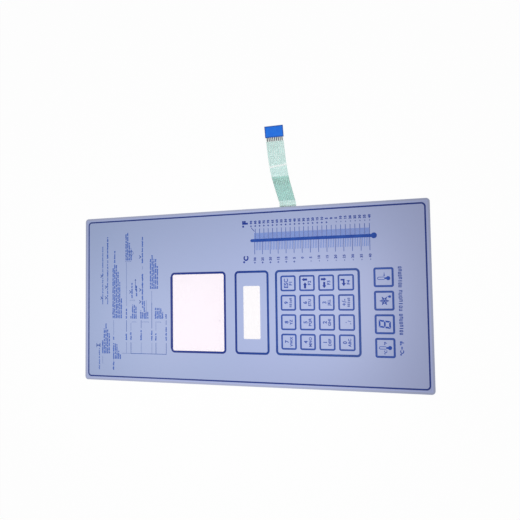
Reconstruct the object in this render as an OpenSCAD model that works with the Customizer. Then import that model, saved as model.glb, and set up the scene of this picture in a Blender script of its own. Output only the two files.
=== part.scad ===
// Membrane keypad: the front panel of a controller, a laminate of printed films and adhesive sheets.
// It lies face up. X runs across the panel and its tail leaves the +X edge. +Y is the top of the
// panel as a user reads it. The origin is the middle of the back face, at the foot of the liner.

/* [Panel] */
// Width of the panel, from its plain long edge to the edge with the tail
panel_w = 255; // [252:1:275]
// Length of the panel
panel_l = 530; // [524:1:560]
// Corner radius of the overlay
corner_r = 5; // [2:0.5:8]
// How far the sheets under the overlay stay inside its edge
sheet_inset = 1; // [0.5:0.1:2]

/* [Thickness of the layers] */
// Release liner on the back
liner_t = 0.1; // [0.06:0.01:0.2]
// Adhesive that mounts the panel
rear_adhesive_t = 0.13; // [0.05:0.01:0.25]
// Lower circuit film
lower_film_t = 0.13; // [0.1:0.01:0.2]
// Spacer between the two circuit films
contact_spacer_t = 0.2; // [0.12:0.01:0.3]
// Upper circuit film and its tail
upper_film_t = 0.13; // [0.1:0.01:0.2]
// Printed silver
silver_t = 0.02; // [0.01:0.005:0.03]
// Adhesive under the overlay
overlay_adhesive_t = 0.05; // [0.03:0.01:0.1]
// Clear overlay film
overlay_t = 0.25; // [0.15:0.01:0.4]
// Pale ink on the face of the overlay
base_ink_t = 0.03; // [0.02:0.005:0.06]
// Dark print on the pale ink
print_t = 0.02; // [0.01:0.005:0.04]

/* [Frames and windows] */
// From the panel's plain long edge to the column
column_margin = 45.5; // [40:0.5:50]
// Width of a frame's line
frame_line = 3.2; // [2:0.1:4]
// Outer corner radius of a frame
frame_r = 6; // [5:0.5:8]
// Room between the key block and its frame
block_margin = 4.8; // [3.6:0.1:6]
// Height of the frame round the small display
small_frame_h = 52; // [44:1:56]
// Height of the frame round the large window
large_frame_h = 89.5; // [80:0.5:94]
// Width of the small display window
small_window_w = 76; // [60:1:96]
// Height of the small display window
small_window_h = 25.4; // [16:0.2:30]
// Corner radius of the small display window
small_window_r = 2; // [1:0.5:4]
// Gap between the key block's frame and the small display's frame
small_frame_gap = 9.4; // [6:0.1:12]
// Gap between the small display's frame and the large window's frame
large_frame_gap = 13.9; // [10:0.1:18]
// How much larger the inner sheets' cut-outs are than the windows, each side
window_relief = 0.8; // [0.4:0.1:1.5]

/* [Border] */
// From the panel's edge to the border line
border_margin = 5.2; // [4:0.2:8]
// Width of the border line
border_line = 2.1; // [1:0.1:2.5]
// Outer corner radius of the border line
border_r = 6; // [3:0.5:9]

/* [Keys] */
// Spacing of the keys in the block
key_pitch = 27.2; // [25:0.1:28]
// Outline of a key in the block
key_w = 22.4; // [20:0.1:23]
// Spacing of the large keys
special_pitch = 31.2; // [30:0.1:32]
// Outline of a large key
special_w = 26.5; // [24:0.1:28]
// Width of a small key's line
key_line = 2.4; // [1:0.1:2.5]
// Width of a large key's line
special_line = 2.8; // [1:0.1:3]
// Outer corner radius of a key
key_r = 3; // [2.6:0.2:4]
// From the panel's lower short edge to the large keys
special_margin = 48.4; // [44:0.1:52]
// Gap between the large keys and the key block's frame
special_gap = 18; // [14:0.5:20]

/* [Thermometer scale] */
// From the panel's tail edge to the middle of the scale's bar
scale_margin = 46.2; // [42:0.2:50]
// From the panel's lower short edge to the lowest mark
scale_base = 78.6; // [74:0.2:84]
// Length of one degree Celsius
degree_pitch = 2.343; // [2.2:0.001:2.4]
// Width of the bar
bar_w = 4.4; // [2:0.2:5]
// Radius of the bulb
bulb_r = 4; // [3:0.1:5]
// From the lowest mark to the middle of the bulb
bulb_drop = 5.6; // [5:0.1:7]
// How far the bar runs on past the highest mark
bar_lead = 6.5; // [4:0.5:9]
// Reach of the Celsius marks from the middle of the bar
celsius_reach = 20; // [16:0.5:22]
// Reach of the Fahrenheit marks from the middle of the bar
fahrenheit_reach = 17; // [14:0.5:19]
// Width of a mark
mark_w = 0.8; // [0.4:0.1:1]

/* [Guide chart] */
// From the panel's upper short edge to the chart's first line
chart_margin = 25.7; // [20:0.1:30]
// From the panel's plain long edge to the chart
chart_side_margin = 16.5; // [12:0.5:20]
// Width of the chart
chart_w = 213; // [190:1:220]
// Gap between the chart's last line and the large window's frame
chart_gap = 8.6; // [6:0.1:12]
// Height of the bar that stands for a line of words
word_h = 1.3; // [0.8:0.1:2]
// Width of the chart's rules
rule_w = 0.8; // [0.5:0.1:1.2]

/* [Contacts and domes] */
// Diameter of a contact pad
pad_d = 6; // [4:0.5:7]
// Diameter of the spacer's hole over a pad
contact_hole_d = 9; // [8:0.5:10]
// Width of an air channel between the holes
vent_w = 1.5; // [1:0.1:2]
// Width of a printed conductor
track_w = 0.8; // [0.6:0.1:1.4]
// Diameter of a dot of conductive adhesive between the two circuits
link_d = 1.6; // [1.2:0.1:2]
// Diameter of a tactile dome
dome_d = 12; // [10:0.5:13]
// Height of a dome's crown
dome_h = 0.45; // [0.3:0.01:0.6]
// Thickness of a dome's steel
dome_t = 0.07; // [0.05:0.01:0.1]
// Room over a dome's crown
dome_headroom = 0.05; // [0.02:0.01:0.1]
// Room round a dome in its hole
dome_clearance = 0.3; // [0.1:0.05:0.6]

/* [Tail] */
// From the panel's lower short edge to the middle of the tail
tail_base = 192.3; // [188:0.1:196]
// Spacing of the tail's conductors
tail_pitch = 2.54; // [2.4:0.01:2.6]
// Clear film beside the outer conductors, to the tail's edge, from the conductor's middle
tail_side = 2.54; // [2:0.01:3]
// Flat stretch beyond the panel's edge
tail_lead = 2; // [1:0.5:4]
// Radius of the first bend
root_bend_r = 6; // [4:0.5:10]
// Angle at which the tail climbs
climb_angle = 51; // [35:1:60]
// Straight climb
climb_l = 32; // [20:1:40]
// Radius of the long bend over the crest
crest_r = 82; // [60:1:100]
// Angle after the crest
run_angle = 21; // [18:1:30]
// Straight run after the crest
run_l = 17; // [8:1:20]
// Radius of the last bend
end_bend_r = 60; // [40:5:90]
// Angle of the end
tip_angle = 14; // [5:1:17]
// Length of the stiffener
stiffener_l = 15; // [12:0.5:20]
// Thickness of the stiffener
stiffener_t = 0.22; // [0.15:0.01:0.3]
// Bare contact length that shows before the stiffener
contact_show = 5; // [3:0.5:7]
// How far the contacts stay back from the tail's end
contact_setback = 1; // [0.5:0.1:2]
// Width of a carbon contact
contact_w = 1.7; // [1.4:0.1:1.9]
// Thickness of the coats and of the carbon
coat_t = 0.02; // [0.01:0.005:0.03]
// Clear film beside the coats
coat_side = 0.8; // [0.6:0.1:1.4]
// Start of the darker coat, along the tail from the panel's edge
band_start = 10; // [8:1:14]
// Length of the darker coat
band_l = 43; // [30:0.5:45]

/* [Hidden] */
$fn = 48;
// How far a cutter runs on past the sheet it cuts
through = 1;
// Smallest round of a corner
least_r = 0.5;
KEY_ROWS = 4;
KEY_COLS = 4;
// One conductor for each column of keys and one for each row, the large keys being a row too
CONDUCTORS = KEY_COLS + KEY_ROWS + 1;
LINK_COUNT = KEY_ROWS + 1;
// The scale starts where both units read the same
COLDEST = -40;
WARMEST_C = 30;
WARMEST_F = 85;
F_PER_C = 1.8;
MARK_STEP = 5;
CELSIUS_MARKS = [COLDEST : MARK_STEP : WARMEST_C];
FAHRENHEIT_MARKS = [COLDEST : MARK_STEP : WARMEST_F];

function block_dome_name(r, c) = str("dome_row", r + 1, "_col", c + 1);
function special_dome_name(c) = str("dome_special_", c + 1);

// Heights of the layers, from the back up
rear_adhesive_z = liner_t;
lower_film_z = rear_adhesive_z + rear_adhesive_t;
contact_spacer_z = lower_film_z + lower_film_t;
upper_film_z = contact_spacer_z + contact_spacer_t;
dome_spacer_z = upper_film_z + upper_film_t;
dome_spacer_t = dome_h + dome_headroom;
overlay_adhesive_z = dome_spacer_z + dome_spacer_t;
overlay_z = overlay_adhesive_z + overlay_adhesive_t;
base_ink_z = overlay_z + overlay_t;
print_z = base_ink_z + base_ink_t;

// The key block gives the column of frames its width
key_block_w = (KEY_COLS - 1) * key_pitch + key_w;
key_block_h = (KEY_ROWS - 1) * key_pitch + key_w;
column_w = key_block_w + 2 * (block_margin + frame_line);
keypad_frame_h = key_block_h + 2 * (block_margin + frame_line);

// Places on the face
column_x = -panel_w / 2 + column_margin + column_w / 2;
special_y = -panel_l / 2 + special_margin + special_w / 2;
keypad_y = special_y + special_w / 2 + special_gap + keypad_frame_h / 2;
small_frame_y = keypad_y + keypad_frame_h / 2 + small_frame_gap + small_frame_h / 2;
large_frame_y = small_frame_y + small_frame_h / 2 + large_frame_gap + large_frame_h / 2;
large_window_w = column_w - 2 * frame_line;
large_window_h = large_frame_h - 2 * frame_line;
large_window_r = frame_r - frame_line;
scale_x = panel_w / 2 - scale_margin;
scale_y = -panel_l / 2 + scale_base;
tail_y = -panel_l / 2 + tail_base;
tail_w = (CONDUCTORS - 1) * tail_pitch + 2 * tail_side;

// Key centres: rows run from the top down, columns from the plain edge to the tail's edge
function column_offset(c, pitch) = column_x + (c - (KEY_COLS - 1) / 2) * pitch;
function key_x(c) = column_offset(c, key_pitch);
function key_y(r) = keypad_y - (r - (KEY_ROWS - 1) / 2) * key_pitch;
function special_x(c) = column_offset(c, special_pitch);
KEY_POINTS = concat(
    [for (r = [0 : KEY_ROWS - 1]) for (c = [0 : KEY_COLS - 1]) [key_x(c), key_y(r)]],
    [for (c = [0 : KEY_COLS - 1]) [special_x(c), special_y]]
);

// The tail's strip starts inside the film, and this is its length up to the panel's edge
tail_root = 6;
tail_edge = tail_root + sheet_inset;
// Depths of the faces under the tail's film: silver, coat or carbon, and second coat
silver_n = -silver_t;
coat_n = silver_n - coat_t;
band_n = coat_n - coat_t;
// The tail's path in its X and Z plane, as runs of [length, angle at the start, angle at the end, steps]
function bend_length(r, from, to) = r * abs(to - from) * PI / 180;
TAIL_RUNS = [
    [tail_edge + tail_lead, 0, 0, 1],
    [bend_length(root_bend_r, 0, climb_angle), 0, climb_angle, 12],
    [climb_l, climb_angle, climb_angle, 1],
    [bend_length(crest_r, climb_angle, run_angle), climb_angle, run_angle, 12],
    [run_l, run_angle, run_angle, 1],
    [bend_length(end_bend_r, run_angle, tip_angle), run_angle, tip_angle, 4],
    [stiffener_l, tip_angle, tip_angle, 1]
];
// Each step: its length, its mean angle and the angle at its end
TAIL_STEPS = [
    for (run = TAIL_RUNS)
        for (k = [1 : run[3]])
            let (turn = (run[2] - run[1]) / run[3])
                [run[0] / run[3], run[1] + turn * (k - 0.5), run[1] + turn * k]
];
function step(i) = i < len(TAIL_STEPS) ? TAIL_STEPS[i] : [0, 0, 0];
// Each station: distance along the tail, x, z and angle
TAIL_STATIONS = [
    for (
        i = 0, s = 0, x = panel_w / 2 - tail_edge, z = upper_film_z, a = 0;
        i <= len(TAIL_STEPS);
        s = s + step(i)[0],
        x = x + step(i)[0] * cos(step(i)[1]),
        z = z + step(i)[0] * sin(step(i)[1]),
        a = step(i)[2],
        i = i + 1
    ) [s, x, z, a]
];
tail_end = TAIL_STATIONS[len(TAIL_STATIONS) - 1][0];
contact_end = tail_end - contact_setback;
stiffener_start = tail_end - stiffener_l;
contact_start = stiffener_start - contact_show;
stiffener_top = upper_film_t + stiffener_t;

// A point at distance s along the tail and n above the film's underside
function tail_point(s, n) = [
    lookup(s, [for (t = TAIL_STATIONS) [t[0], t[1] - n * sin(t[3])]]),
    lookup(s, [for (t = TAIL_STATIONS) [t[0], t[2] + n * cos(t[3])]])
];
function stations_between(s0, s1) =
    concat([s0], [for (t = TAIL_STATIONS) if (t[0] > s0 && t[0] < s1) t[0]], [s1]);
function reversed(list) = [for (i = [len(list) - 1 : -1 : 0]) list[i]];

// A strip of the tail from s0 to s1, between heights n0 and n1, centred on y
module tail_strip(s0, s1, n0, n1, y, w) {
    along = stations_between(s0, s1);
    low = [for (s = along) tail_point(s, n0)];
    high = [for (s = reversed(along)) tail_point(s, n1)];
    translate([0, y + w / 2, 0])
        rotate([90, 0, 0])
            linear_extrude(w)
                polygon(concat(low, high));
}

function conductor_y(k) = tail_y + (k - (CONDUCTORS - 1) / 2) * tail_pitch;

// A rectangle with true round corners
module rounded_rect(w, h, r) {
    square([w - 2 * r, h], center = true);
    square([w, h - 2 * r], center = true);
    for (sx = [-1, 1], sy = [-1, 1])
        translate([sx * (w / 2 - r), sy * (h / 2 - r)])
            circle(r);
}

// A printed line round a rounded rectangle
module ring(w, h, r, line) {
    difference() {
        rounded_rect(w, h, r);
        rounded_rect(w - 2 * line, h - 2 * line, max(r - line, least_r));
    }
}

// The two windows, each larger all round by the given relief
module windows(relief) {
    translate([column_x, large_frame_y])
        rounded_rect(large_window_w + 2 * relief, large_window_h + 2 * relief, large_window_r + relief);
    translate([column_x, small_frame_y])
        rounded_rect(small_window_w + 2 * relief, small_window_h + 2 * relief, small_window_r + relief);
}

// The outline of a sheet of the laminate, with its window cut-outs
module sheet_outline(inset, relief) {
    difference() {
        rounded_rect(panel_w - 2 * inset, panel_l - 2 * inset, max(corner_r - inset, least_r));
        windows(relief);
    }
}

// A flat layer at height z
module layer(z, t) {
    translate([0, 0, z])
        linear_extrude(t)
            children();
}

// An inner sheet of the laminate
module sheet(z, t) {
    layer(z, t) sheet_outline(sheet_inset, window_relief);
}

// A printed conductor through a list of points
module track(points, w) {
    for (i = [1 : len(points) - 1]) {
        run = points[i] - points[i - 1];
        translate(points[i - 1])
            rotate(atan2(run[1], run[0]))
                translate([0, -w / 2])
                    square([norm(run), w]);
    }
    for (p = points)
        translate(p)
            circle(d = w, $fn = 16);
}

// Back of the panel
module release_liner() {
    color("#e9e4d2") sheet(0, liner_t);
}

module rear_adhesive() {
    color("#d8dadc") sheet(rear_adhesive_z, rear_adhesive_t);
}

// Lower circuit: one line for each row of keys, led to a link dot near the tail
module lower_circuit_film() {
    color("#dfe9e6") sheet(lower_film_z, lower_film_t);
}

// How far the link dots stay back from the film's edge
link_inset = 6;
// Room between the column of frames and the first upright conductor
bus_gap = 8;
link_x = panel_w / 2 - tail_edge - link_inset;
bus_x = column_x + column_w / 2 + bus_gap;
function row_y(r) = r < KEY_ROWS ? key_y(r) : special_y;
function row_start_x(r) = r < KEY_ROWS ? key_x(0) : special_x(0);
// The top row takes the highest of the row conductors, and the large keys the lowest
function row_conductor(r) = LINK_COUNT - 1 - r;
function row_bus_x(r) = bus_x + r * tail_pitch;
function row_route(r) = [
    [row_start_x(r), row_y(r)],
    [row_bus_x(r), row_y(r)],
    [row_bus_x(r), conductor_y(row_conductor(r))],
    [link_x, conductor_y(row_conductor(r))]
];

module pads() {
    for (p = KEY_POINTS)
        translate(p)
            circle(d = pad_d);
}

module link_points() {
    for (k = [0 : LINK_COUNT - 1])
        translate([link_x, conductor_y(k)])
            circle(d = link_d);
}

module row_print() {
    for (r = [0 : KEY_ROWS])
        track(row_route(r), track_w);
    pads();
    link_points();
}

module row_conductors() {
    color("#b9bcc0") layer(contact_spacer_z, silver_t) row_print();
}

// Spacer: a hole at each key, air channels between them, and room for both silver prints
module contact_holes() {
    for (p = KEY_POINTS)
        translate(p)
            circle(d = contact_hole_d);
}

module vents() {
    last = KEY_COLS - 1;
    for (r = [0 : KEY_ROWS - 1])
        track([[key_x(0), key_y(r)], [key_x(last), key_y(r)]], vent_w);
    track([[special_x(0), special_y], [special_x(last), special_y]], vent_w);
    track([[key_x(0), key_y(0)], [key_x(0), key_y(KEY_ROWS - 1)], [special_x(0), special_y]], vent_w);
}

module contact_spacer() {
    color("#eef0ee")
        difference() {
            sheet(contact_spacer_z, contact_spacer_t);
            layer(contact_spacer_z - through, contact_spacer_t + 2 * through) {
                contact_holes();
                vents();
                link_points();
            }
            layer(contact_spacer_z - through, through + silver_t) row_print();
            layer(upper_film_z - silver_t, through + silver_t) column_print();
        }
}

// Conductive dots that lead the rows up to the tail's conductors
module link_dots() {
    color("#8f9296")
        layer(contact_spacer_z + silver_t, contact_spacer_t - 2 * silver_t) link_points();
}

// Upper circuit: one line for each column of keys, led over the key block and down to the tail
// How far the leads run below the top of the key block's frame
lead_drop = 4;
column_lead_y = keypad_y + keypad_frame_h / 2 - lead_drop;
function column_bus_x(c) = bus_x + (KEY_COLS - 1 - c) * tail_pitch;
function column_conductor(c) = CONDUCTORS - 1 - c;
function column_lead(c) = column_lead_y + (KEY_COLS - 1 - c) * tail_pitch;
function column_route(c) = [
    [special_x(c), special_y],
    [special_x(c), special_y + special_w / 2 + special_gap / 2],
    [key_x(c), key_y(KEY_ROWS - 1) - key_w / 2],
    [key_x(c), column_lead(c)],
    [column_bus_x(c), column_lead(c)],
    [column_bus_x(c), conductor_y(column_conductor(c))],
    [link_x, conductor_y(column_conductor(c))]
];

module column_print() {
    for (c = [0 : KEY_COLS - 1])
        track(column_route(c), track_w);
    pads();
    for (k = [0 : CONDUCTORS - 1])
        track([[link_x, conductor_y(k)], [panel_w / 2, conductor_y(k)]], track_w);
    link_points();
}

module column_conductors() {
    color("#c4c7ca") {
        layer(upper_film_z - silver_t, silver_t) column_print();
        for (k = [0 : CONDUCTORS - 1])
            tail_strip(tail_root, contact_end, silver_n, 0, conductor_y(k), track_w);
    }
}

module upper_circuit_film() {
    color("#cfe8e2") {
        sheet(upper_film_z, upper_film_t);
        tail_strip(0, tail_end, 0, upper_film_t, tail_y, tail_w);
    }
}

// Coats, contacts and stiffener of the tail
coat_w = tail_w - 2 * coat_side;

module tail_coating() {
    color("#bfe3d8")
        tail_strip(tail_edge, contact_start, coat_n, silver_n, tail_y, coat_w);
}

module tail_coating_band() {
    start = tail_edge + band_start;
    color("#8cc7b8")
        tail_strip(start, start + band_l, band_n, coat_n, tail_y, coat_w);
}

module tail_contacts() {
    color("#26272a")
        for (k = [0 : CONDUCTORS - 1])
            tail_strip(contact_start, contact_end, coat_n, silver_n, conductor_y(k), contact_w);
}

module tail_stiffener() {
    color("#2f6fdc")
        tail_strip(stiffener_start, tail_end, upper_film_t, stiffener_top, tail_y, tail_w);
}

// Dome spacer and the domes that sit in it
module dome_spacer() {
    color("#e4e6e8")
        difference() {
            sheet(dome_spacer_z, dome_spacer_t);
            for (p = KEY_POINTS)
                translate([p[0], p[1], dome_spacer_z - through])
                    cylinder(d = dome_d + 2 * dome_clearance, h = dome_spacer_t + 2 * through);
        }
}

// Height of the dome's outer face at radius r, on a circle through its rim and crown
dome_curve_r = (pow(dome_d / 2, 2) + pow(dome_h, 2)) / (2 * dome_h);
function dome_height(r) = sqrt(pow(dome_curve_r, 2) - pow(r, 2)) - (dome_curve_r - dome_h);
DOME_STEPS = 8;
module dome(p) {
    outer = [for (i = [0 : DOME_STEPS]) let (r = dome_d / 2 * i / DOME_STEPS) [r, dome_height(r)]];
    inner = [for (i = [DOME_STEPS - 1 : -1 : 0])
        let (r = dome_d / 2 * i / DOME_STEPS)
            [r, max(dome_height(r) - dome_t, 0)]];
    color("#c9ccd0")
        translate([p[0], p[1], dome_spacer_z])
            rotate_extrude()
                polygon(concat(outer, inner));
}

// Overlay: its adhesive, the clear film, and the print on its face, which leaves the windows open
module overlay_adhesive() {
    color("#eef1f4") sheet(overlay_adhesive_z, overlay_adhesive_t);
}

module overlay_film() {
    color("#f4f3fb")
        layer(overlay_z, overlay_t) rounded_rect(panel_w, panel_l, corner_r);
}

module base_ink() {
    color("#a9b5d9") layer(base_ink_z, base_ink_t) sheet_outline(0, 0);
}

module border_2d() {
    ring(panel_w - 2 * border_margin, panel_l - 2 * border_margin, border_r, border_line);
}

module frames_2d() {
    translate([column_x, large_frame_y])
        ring(column_w, large_frame_h, frame_r, frame_line);
    translate([column_x, small_frame_y])
        ring(column_w, small_frame_h, frame_r, frame_line);
    translate([column_x, keypad_y])
        ring(column_w, keypad_frame_h, frame_r, frame_line);
}

module key_outlines_2d() {
    for (r = [0 : KEY_ROWS - 1], c = [0 : KEY_COLS - 1])
        translate([key_x(c), key_y(r)])
            ring(key_w, key_w, key_r, key_line);
    for (c = [0 : KEY_COLS - 1])
        translate([special_x(c), special_y])
            ring(special_w, special_w, key_r, special_line);
}

function celsius_y(t) = scale_y + (t - COLDEST) * degree_pitch;
function fahrenheit_y(t) = scale_y + (t - COLDEST) * degree_pitch / F_PER_C;

module thermometer_2d() {
    bulb_y = scale_y - bulb_drop;
    bar_top = celsius_y(WARMEST_C) + bar_lead;
    translate([scale_x, bulb_y])
        circle(bulb_r);
    translate([scale_x, bar_top - bar_w / 2])
        circle(d = bar_w);
    translate([scale_x - bar_w / 2, bulb_y])
        square([bar_w, bar_top - bar_w / 2 - bulb_y]);
    for (t = CELSIUS_MARKS)
        translate([scale_x - celsius_reach, celsius_y(t) - mark_w / 2])
            square([celsius_reach, mark_w]);
    for (t = FAHRENHEIT_MARKS)
        translate([scale_x, fahrenheit_y(t) - mark_w / 2])
            square([fahrenheit_reach, mark_w]);
}

// Guide chart, on a grid that fills its place between the panel's top and the large window's frame.
// Bars stand for lines of words, and rules join them as a tree.
CHART_COLS = 213;
CHART_ROWS = 118;
WORD_ROWS = 3;
// Words: distance below the first line, start of the lines, end of each line, from the chart's side
CHART_WORDS = [
    [0, 0, [32]],
    [6, 25, [49, 64, 72, 64, 57]],
    [6, 102, [194]],
    [15, 102, [208]],
    [26, 0, [13]],
    [26, 17, [42, 42, 40, 30, 25]],
    [26, 46, [52]],
    [25, 80, [159, 166, 164, 153, 138, 111]],
    [28, 170, [186]],
    [49, 46, [56]],
    [49, 80, [95]],
    [48, 170, [211, 213, 198, 189]],
    [57, 46, [58]],
    [57, 80, [84, 101, 101, 98]],
    [59, 111, [135]],
    [67, 114, [130]],
    [75, 46, [62]],
    [74, 80, [92, 151, 108, 92, 91]],
    [77, 165, [206]],
    [94, 46, [61]],
    [91, 125, [172, 177, 171, 170]],
    [101, 46, [58]],
    [100, 80, [97, 96, 96, 96, 90]],
    [118, 46, [67]],
    [118, 80, [86]]
];
// Level rules: distance below the first line, start and end
CHART_RULES = [
    [26, 13, 17],
    [26, 54, 77],
    [49, 59, 77],
    [49, 99, 167],
    [57, 61, 77],
    [75, 65, 77],
    [94, 64, 122],
    [101, 61, 77],
    [118, 70, 77]
];
// The upright trunk, and the levels at which a branch leaves it
TRUNK = 26;
TRUNK_TOP = 40;
BRANCH_END = 43;
BRANCHES = [49, 57, 75, 94, 101, CHART_ROWS];
chart_top = panel_l / 2 - chart_margin;
chart_col = chart_w / CHART_COLS;
chart_row = (chart_top - chart_gap - large_frame_y - large_frame_h / 2) / CHART_ROWS;

module chart_box(drop, from, to, h) {
    translate([from * chart_col, -drop * chart_row - h / 2])
        square([(to - from) * chart_col, h]);
}

module guide_chart_2d() {
    trunk_end = max(BRANCHES) * chart_row + rule_w / 2;
    translate([-panel_w / 2 + chart_side_margin, chart_top]) {
        for (words = CHART_WORDS)
            for (i = [0 : len(words[2]) - 1])
                chart_box(words[0] + i * WORD_ROWS, words[1], words[2][i], word_h);
        for (rule = CHART_RULES)
            chart_box(rule[0], rule[1], rule[2], rule_w);
        for (level = BRANCHES)
            chart_box(level, TRUNK, BRANCH_END, rule_w);
        translate([TRUNK * chart_col - rule_w / 2, -trunk_end])
            square([rule_w, trunk_end - TRUNK_TOP * chart_row]);
    }
}

module border_print() {
    color("#3a478f") layer(print_z, print_t) border_2d();
}

module frames_print() {
    color("#2b3f92") layer(print_z, print_t) frames_2d();
}

module key_outlines_print() {
    color("#3f57a8") layer(print_z, print_t) key_outlines_2d();
}

module thermometer_print() {
    color("#2c4ba6") layer(print_z, print_t) thermometer_2d();
}

module guide_chart_print() {
    color("#5d6fae") layer(print_z, print_t) guide_chart_2d();
}

release_liner();
rear_adhesive();
lower_circuit_film();
row_conductors();
contact_spacer();
link_dots();
column_conductors();
upper_circuit_film();
tail_coating();
tail_coating_band();
tail_contacts();
tail_stiffener();
dome_spacer();
for (r = [0 : KEY_ROWS - 1], c = [0 : KEY_COLS - 1])
    dome([key_x(c), key_y(r)]);
for (c = [0 : KEY_COLS - 1])
    dome([special_x(c), special_y]);
overlay_adhesive();
overlay_film();
base_ink();
border_print();
frames_print();
key_outlines_print();
thermometer_print();
guide_chart_print();
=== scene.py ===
"""A membrane keypad front panel: the looks of its films, its print and its tail."""

import math
import random

import bmesh
import bpy
from mathutils import Matrix, Vector


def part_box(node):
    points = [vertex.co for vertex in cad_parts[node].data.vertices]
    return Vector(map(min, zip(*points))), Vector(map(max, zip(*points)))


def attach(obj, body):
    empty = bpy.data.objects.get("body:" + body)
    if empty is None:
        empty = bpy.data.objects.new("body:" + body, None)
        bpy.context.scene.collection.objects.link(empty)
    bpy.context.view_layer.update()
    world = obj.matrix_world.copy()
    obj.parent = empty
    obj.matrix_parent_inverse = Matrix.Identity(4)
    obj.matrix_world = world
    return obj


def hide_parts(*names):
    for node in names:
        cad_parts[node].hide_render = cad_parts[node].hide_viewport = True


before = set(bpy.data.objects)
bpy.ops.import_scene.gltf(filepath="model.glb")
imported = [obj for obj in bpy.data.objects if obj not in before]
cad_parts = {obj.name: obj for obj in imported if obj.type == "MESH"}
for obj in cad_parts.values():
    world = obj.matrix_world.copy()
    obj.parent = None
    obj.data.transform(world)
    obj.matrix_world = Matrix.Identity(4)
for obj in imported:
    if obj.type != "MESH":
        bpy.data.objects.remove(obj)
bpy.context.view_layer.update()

# Viewpoint. The panel lies face up and is seen from its lower short edge, a little
# off the upright, with its long edges level in the picture and the tail at the top.
EYE = Vector((0.0111, -0.2785, 0.7434))
AIM = Vector((0.0530, -0.0302, 0.0015))
PICTURE_UP = Vector((1.0, -0.0150, 0.0))
SENSOR = 36.0
FOCAL_PIXELS = 546
PICTURE_PIXELS = 520

camera = bpy.data.objects.new("viewpoint", bpy.data.cameras.new("viewpoint"))
camera.data.sensor_width = SENSOR
camera.data.lens = SENSOR * FOCAL_PIXELS / PICTURE_PIXELS
back = (EYE - AIM).normalized()
right = PICTURE_UP.cross(back).normalized()
facing = Matrix((right, back.cross(right), back)).transposed()
camera.matrix_world = Matrix.Translation(EYE) @ facing.to_4x4()
bpy.context.scene.collection.objects.link(camera)
bpy.context.scene.camera = camera

# Studio. A plain pale floor and an even white surround, with two soft lamps over the long
# middle of the panel, so that the face grows a little darker towards its corners.
FLOOR_SIDE = 6.0
FLOOR_DROP = 0.0003
FLOOR_GLOW = 0.97
FLOOR_WHITE = (0.97, 0.97, 0.97, 1)
WHITE = (1, 1, 1, 1)
SURROUND = 0.41
LAMP_SIDE = 0.2
# Place and watts of each lamp
LAMPS = [((-0.062, 0.266, 0.3), 0.43), ((-0.022, -0.102, 0.25), 0.38)]
# Span in which most values of a noise lie
NOISE_LOW = 0.3
NOISE_HIGH = 0.7


class Value:
    """A node's output, so that shader maths reads as Python."""

    def __init__(self, shader, socket):
        self.shader = shader
        self.socket = socket

    def maths(self, operation, *terms):
        return self.shader.node("Math", {"operation": operation}, dict(enumerate(terms)))

    def __add__(self, other):
        return self.maths("ADD", self, other)

    __radd__ = __add__

    def __sub__(self, other):
        return self.maths("SUBTRACT", self, other)

    def __rsub__(self, other):
        return self.maths("SUBTRACT", other, self)

    def __mul__(self, other):
        return self.maths("MULTIPLY", self, other)

    __rmul__ = __mul__

    def __abs__(self):
        return self.maths("ABSOLUTE", self)

    def either(self, other):
        return self.maths("MAXIMUM", self, other)


class Shader:
    """A node tree of a material or of the world. Its node method adds any node."""

    def __init__(self, owner):
        self.owner = owner
        owner.use_nodes = True
        self.tree = owner.node_tree
        self.tree.nodes.clear()

    def node(self, kind, settings, inputs, output=0):
        made = self.tree.nodes.new("ShaderNode" + kind)
        for name, value in settings.items():
            setattr(made, name, value)
        for place, value in inputs.items():
            if isinstance(value, Value):
                self.tree.links.new(value.socket, made.inputs[place])
            else:
                made.inputs[place].default_value = value
        return Value(self, made.outputs[output]) if made.outputs else None

    def mix(self, share, first, second):
        """A blend of two colours. The node's colour sockets are known by their numbers only."""
        return self.node("Mix", {"data_type": "RGBA"}, {0: share, 6: first, 7: second}, output=2)

    def ramp(self, value, low, high, at_low=0.0, at_high=1.0):
        bounds = {"From Min": low, "From Max": high, "To Min": at_low, "To Max": at_high}
        return self.node("MapRange", {}, {"Value": value, **bounds})

    def over(self, noise, at_low=0.0, at_high=1.0):
        """That noise, spread so that its usual span runs from one value to the other."""
        return self.ramp(noise, NOISE_LOW, NOISE_HIGH, at_low, at_high)

    def spot(self):
        """The place on the object itself, in metres."""
        return self.node("TexCoord", {}, {}, output="Object")

    def noise(self, size, detail=2.0, stretch=(1, 1, 1)):
        """Cloudy noise whose patches are about that size, in metres."""
        placed = self.node("Mapping", {}, {"Vector": self.spot(), "Scale": [s / size for s in stretch]})
        return self.node("TexNoise", {}, {"Vector": placed, "Scale": 1.0, "Detail": detail})

    def axis(self, letter):
        return self.node("SeparateXYZ", {}, {"Vector": self.spot()}, output="XYZ".index(letter))

    def bump(self, height, depth):
        return self.node("Bump", {}, {"Strength": 1.0, "Distance": depth, "Height": height})

    def surface(self, **sockets):
        named = {name.replace("_", " "): value for name, value in sockets.items()}
        shown = self.node("BsdfPrincipled", {}, named)
        self.node("OutputMaterial", {}, {"Surface": shown})
        return self.owner


def seen_directly(shader):
    """1 for what the eye sees, also in a mirror or through a film, and 0 for light on the object."""
    rays = {name: shader.node("LightPath", {}, {}, output=name) for name in (
        "Is Camera Ray", "Is Glossy Ray", "Is Transmission Ray")}
    return rays["Is Camera Ray"].either(rays["Is Glossy Ray"]).either(rays["Is Transmission Ray"])


world = bpy.data.worlds.new("surround")
bpy.context.scene.world = world
surround = Shader(world)
strength = surround.ramp(seen_directly(surround), 0, 1, SURROUND, 1.0)
glow = surround.node("Background", {}, {"Color": WHITE, "Strength": strength})
surround.node("OutputWorld", {}, {"Surface": glow})

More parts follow.
